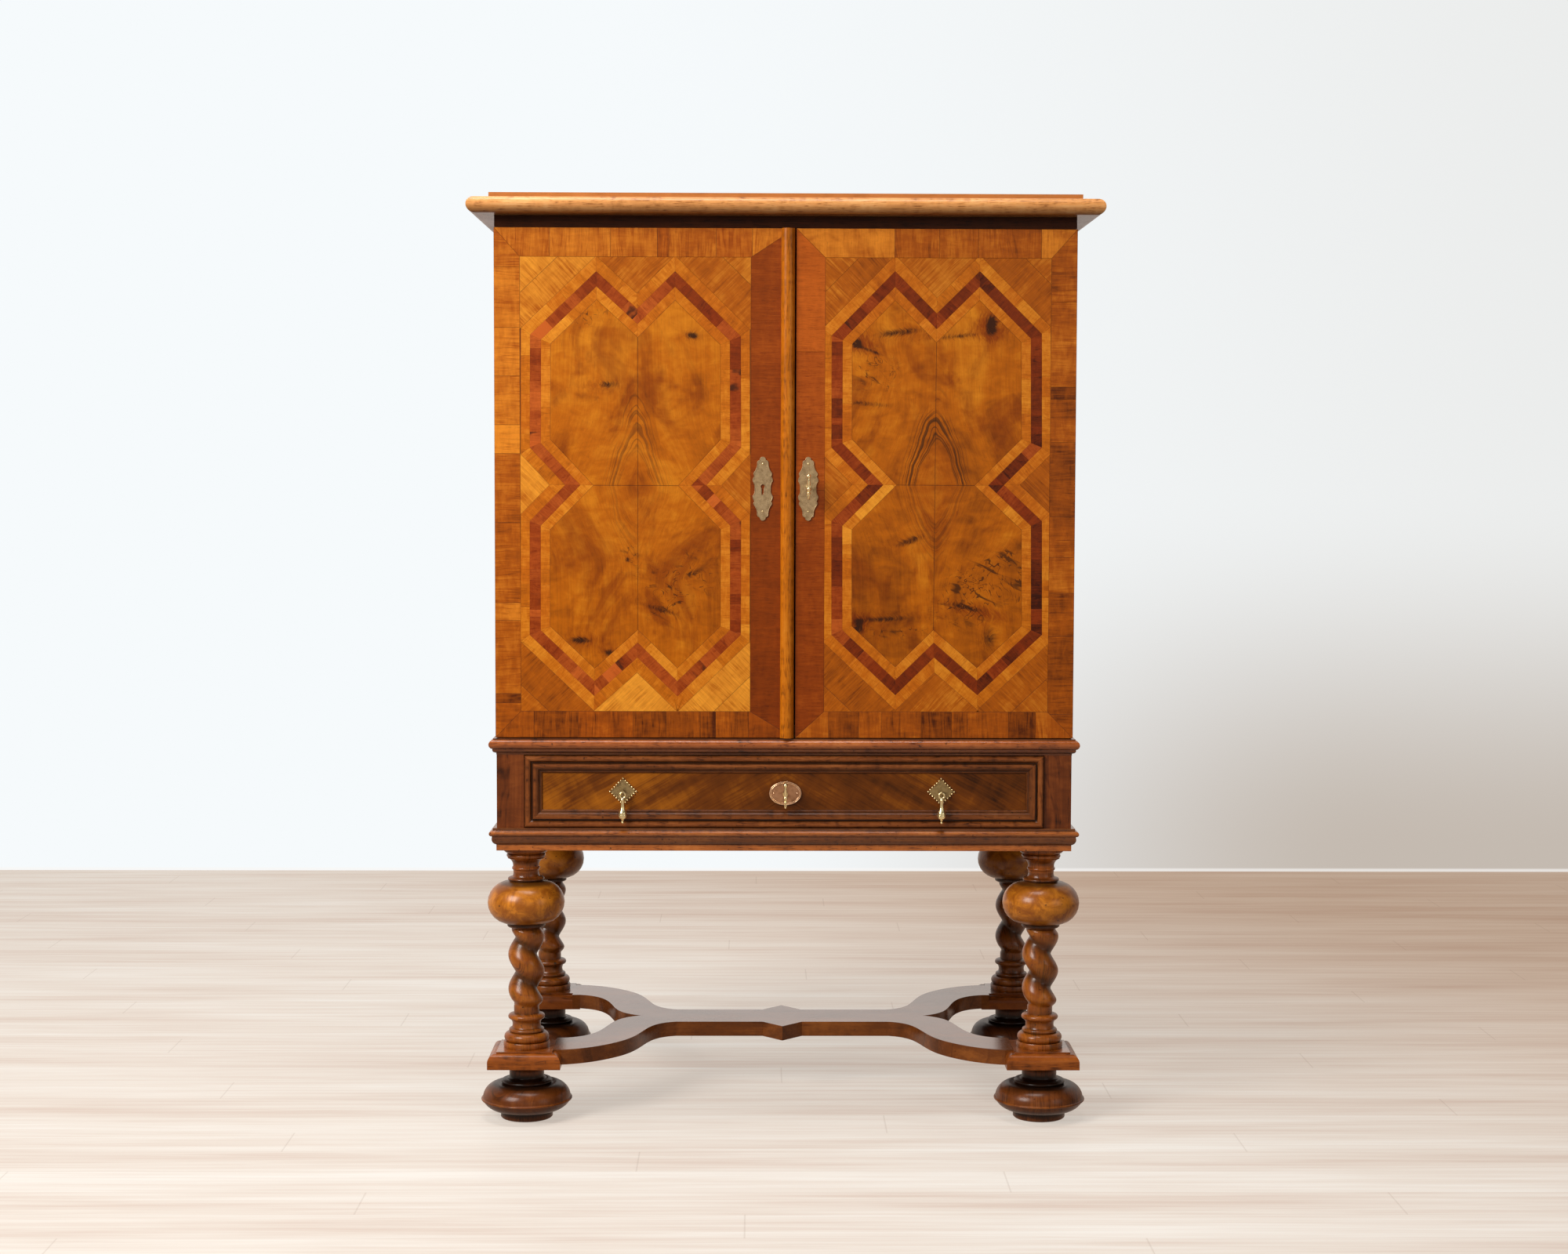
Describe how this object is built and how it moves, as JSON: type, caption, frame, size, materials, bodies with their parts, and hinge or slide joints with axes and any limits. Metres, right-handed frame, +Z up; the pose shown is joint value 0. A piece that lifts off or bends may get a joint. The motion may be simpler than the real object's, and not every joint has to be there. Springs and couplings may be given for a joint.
{
  "type": "cabinet on stand",
  "caption": "Two-door cabinet with strapwork marquetry, raised on a drawer stand with barley-twist legs, bun feet and a forked flat stretcher.",
  "frame": {"origin": "centre of the footprint, on the floor", "axes": "+Z up, +X to the viewer's right, +Y from the doors to the back"},
  "size_m": [1.141, 0.7, 1.694],
  "materials": {
    "walnut_field": "figured walnut veneer, quartered, semi-gloss shellac",
    "walnut_crossband": "cross-grain walnut veneer, semi-gloss shellac",
    "strap_dark": "dark cross-grain walnut veneer, semi-gloss shellac",
    "strap_light": "light cross-grain walnut veneer, semi-gloss shellac",
    "case_walnut": "walnut, semi-gloss shellac",
    "frieze_walnut": "walnut veneer, semi-gloss shellac",
    "moulding_walnut": "cross-grain walnut moulding, semi-gloss shellac",
    "cornice_walnut": "light walnut, worn shellac",
    "strip_dark": "blackened wood",
    "turned_walnut": "turned walnut, semi-gloss shellac",
    "foot_walnut": "dark stained wood, worn gloss",
    "stretcher_walnut": "walnut, polished top",
    "oak": "plain sawn oak, unpolished",
    "brass": "aged brass",
    "iron": "oiled black iron"
  },
  "bodies": {
    "carcass": {"foot_front_left": "foot_walnut", "foot_front_right": "foot_walnut", "foot_back_left": "foot_walnut", "foot_back_right": "foot_walnut", "leg_front_left": "turned_walnut", "leg_front_right": "turned_walnut", "leg_back_left": "turned_walnut", "leg_back_right": "turned_walnut", "plinth_blocks": "stretcher_walnut", "stretcher_fork_left": "stretcher_walnut", "stretcher_fork_right": "stretcher_walnut", "stretcher_bar": "stretcher_walnut", "base_frame": "oak", "lower_moulding": "moulding_walnut", "frieze_posts": "frieze_walnut", "frieze_boards": "frieze_walnut", "drawer_runners": "oak", "stand_top": "oak", "waist_moulding": "moulding_walnut", "case_side_left": "case_walnut", "case_side_right": "case_walnut", "case_floor": "oak", "case_ceiling": "oak", "case_back": "oak", "shelves_and_cleats": "oak", "cornice_strip": "strip_dark", "cornice": "cornice_walnut", "top_board": "cornice_walnut", "case_pivot_plates": "brass"},
    "left_door": {"door_left_board": "case_walnut", "door_left_crossbanding": "walnut_crossband", "door_left_field_veneer": "walnut_field", "door_left_dark_strapwork": "strap_dark", "door_left_light_strapwork": "strap_light", "door_left_pivot_plates": "brass", "door_left_escutcheon": "brass", "astragal": "moulding_walnut", "bolt_staples": "iron"},
    "right_door": {"door_right_board": "case_walnut", "door_right_crossbanding": "walnut_crossband", "door_right_field_veneer": "walnut_field", "door_right_dark_strapwork": "strap_dark", "door_right_light_strapwork": "strap_light", "door_right_pivot_plates": "brass", "door_right_escutcheon": "brass", "door_lock_case": "iron"},
    "drawer": {"drawer_front": "frieze_walnut", "drawer_mouldings": "moulding_walnut", "drawer_box": "oak", "drawer_escutcheon": "brass", "drawer_lock_case": "iron", "pull_plates": "brass"},
    "door_key_turned": {"door_key": "iron"},
    "door_bolt": {"door_lock_bolt": "iron"},
    "drawer_key_turned": {"drawer_key": "iron"},
    "drawer_bolt": {"drawer_lock_bolt": "iron"},
    "top_slide_bolt": {"slide_bolt_top": "iron"},
    "bottom_slide_bolt": {"slide_bolt_bottom": "iron"},
    "left_pull": {"pull_drop_left": "brass"},
    "right_pull": {"pull_drop_right": "brass"}
  },
  "joints": [
    {"name": "left_door_hinge", "type": "hinge", "parent": "carcass", "child": "left_door", "pos_m": [-0.5195, -0.286, 0.7115], "axis": [0, 0, -1], "range_deg": [0, 100]},
    {"name": "right_door_hinge", "type": "hinge", "parent": "carcass", "child": "right_door", "pos_m": [0.5195, -0.286, 0.7115], "axis": [0, 0, 1], "range_deg": [0, 100]},
    {"name": "drawer_slide", "type": "slide", "parent": "carcass", "child": "drawer", "axis": [0, -1, 0], "range_m": [0, 0.4]},
    {"name": "door_key_turn", "type": "hinge", "parent": "right_door", "child": "door_key_turned", "pos_m": [0.0415, -0.304, 1.1685], "axis": [0, -1, 0], "range_deg": [0, 360]},
    {"name": "door_bolt_slide", "type": "slide", "parent": "right_door", "child": "door_bolt", "axis": [-1, 0, 0], "range_m": [0, 0.012]},
    {"name": "drawer_key_turn", "type": "hinge", "parent": "drawer", "child": "drawer_key_turned", "pos_m": [0.0017, -0.3025, 0.61], "axis": [0, -1, 0], "range_deg": [0, 360]},
    {"name": "drawer_bolt_slide", "type": "slide", "parent": "drawer", "child": "drawer_bolt", "axis": [0, 0, 1], "range_m": [0, 0.01]},
    {"name": "top_bolt_slide", "type": "slide", "parent": "left_door", "child": "top_slide_bolt", "axis": [0, 0, 1], "range_m": [0, 0.018]},
    {"name": "bottom_bolt_slide", "type": "slide", "parent": "left_door", "child": "bottom_slide_bolt", "axis": [0, 0, -1], "range_m": [0, 0.018]},
    {"name": "left_pull_swing", "type": "hinge", "parent": "drawer", "child": "left_pull", "pos_m": [-0.294, -0.3195, 0.61265], "axis": [-1, 0, 0], "range_deg": [0, 90]},
    {"name": "right_pull_swing", "type": "hinge", "parent": "drawer", "child": "right_pull", "pos_m": [0.286, -0.3195, 0.61265], "axis": [-1, 0, 0], "range_deg": [0, 90]}
  ],
  "couplings": [
    {"joint": "door_bolt_slide", "follows": "door_key_turn", "m_per_rad": 0.0019},
    {"joint": "drawer_bolt_slide", "follows": "drawer_key_turn", "m_per_rad": 0.00159}
  ]
}
